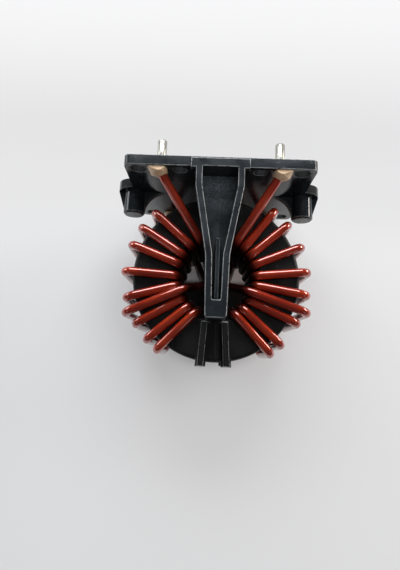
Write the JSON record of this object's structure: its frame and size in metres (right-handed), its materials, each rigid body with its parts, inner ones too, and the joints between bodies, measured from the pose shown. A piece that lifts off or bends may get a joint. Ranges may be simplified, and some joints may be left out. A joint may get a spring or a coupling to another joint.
{
  "type": "toroidal inductor",
  "caption": "Upright two-winding toroidal inductor: a cased ring core wound with thick enamelled wire, held by clamp arms on a moulded header plate with tinned solder pins.",
  "frame": {"origin": "middle of the mounting plate's underside, midway between the two screw bosses", "axes": "+Z from the plate up to the ring, Y along the ring's axis with the front towards -Y, X from boss to boss"},
  "size_m": [0.0478, 0.0332, 0.0471],
  "materials": {
    "header_plastic": "satin black moulding, glossy on the plate's upper face",
    "case_plastic": "satin black moulding",
    "ferrite": "matt sintered ferrite",
    "enamelled_wire": "glossy red-brown enamel over copper, ends stripped and tinned",
    "adhesive": "smooth beige adhesive"
  },
  "bodies": {
    "root": {"base": "header_plastic", "case_front": "case_plastic", "case_rear": "case_plastic", "ferrite_core": "ferrite", "winding_right": "enamelled_wire", "winding_left": "enamelled_wire", "bead_front_right": "adhesive", "bead_front_left": "adhesive", "bead_rear_right": "adhesive", "bead_rear_left": "adhesive"}
  },
  "joints": []
}
